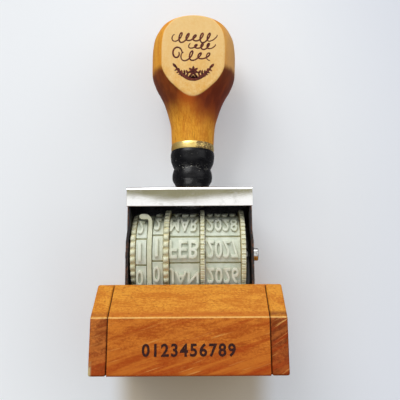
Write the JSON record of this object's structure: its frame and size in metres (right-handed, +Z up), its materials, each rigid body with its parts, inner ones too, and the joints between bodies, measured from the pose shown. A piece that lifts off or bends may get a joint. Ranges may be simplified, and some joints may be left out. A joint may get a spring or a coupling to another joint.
{
  "type": "wooden planner date stamp",
  "caption": "Self-standing date stamp: a turned wooden handle on a chromed frame of rubber type belts and thumb wheels, set in a sloped wooden block with a rubber die.",
  "frame": {"origin": "centre of the printing face that the stamp stands on", "axes": "+Z up along the handle, -Y towards the front with the flat of the handle, +X to the right"},
  "size_m": [0.0458, 0.0398, 0.099],
  "materials": {
    "wood_body": "stained and lacquered, satin",
    "wood_cheek": "stained darker at the end grain, satin",
    "wood_handle": "stained and lacquered, glossy",
    "black_gloss": "glossy black",
    "gold": "polished, worn in one place",
    "chrome": "mirror plated",
    "steel": "plain turned",
    "type_rubber": "pale matte rubber",
    "wheel_plastic": "moulded, satin",
    "die_rubber": "matte",
    "cushion_foam": "open foam, matte"
  },
  "bodies": {
    "root": {"block_body": "wood_body", "left_cheek": "wood_cheek", "right_cheek": "wood_cheek", "rubber_die": "die_rubber", "die_cushion": "cushion_foam", "frame_cap": "chrome", "left_side_plate": "chrome", "right_side_plate": "chrome", "platen": "steel", "belt_separator": "wheel_plastic", "axle": "steel", "axle_spacer": "steel", "tens_belt": "type_rubber", "units_belt": "type_rubber", "month_belt": "type_rubber", "year_belt": "type_rubber", "handle": "wood_handle", "gold_ring": "gold", "collar": "black_gloss", "handle_stud": "steel", "stud_nut": "steel", "stud_washer": "steel", "frame_screw_left_front": "steel", "frame_screw_left_rear": "steel", "frame_screw_right_front": "steel", "frame_screw_right_rear": "steel"},
    "tens_wheel": {"tens_wheel": "wheel_plastic"},
    "units_wheel": {"units_wheel": "wheel_plastic"},
    "month_wheel": {"month_wheel": "wheel_plastic"},
    "year_wheel": {"year_wheel": "wheel_plastic"}
  },
  "joints": [
    {"name": "tens_turn", "type": "hinge", "parent": "root", "child": "tens_wheel", "pos_m": [0, 0, 0.03], "axis": [1, 0, 0], "continuous": true},
    {"name": "units_turn", "type": "hinge", "parent": "root", "child": "units_wheel", "pos_m": [0, 0, 0.03], "axis": [1, 0, 0], "continuous": true},
    {"name": "month_turn", "type": "hinge", "parent": "root", "child": "month_wheel", "pos_m": [0, 0, 0.03], "axis": [1, 0, 0], "continuous": true},
    {"name": "year_turn", "type": "hinge", "parent": "root", "child": "year_wheel", "pos_m": [0, 0, 0.03], "axis": [1, 0, 0], "continuous": true}
  ]
}
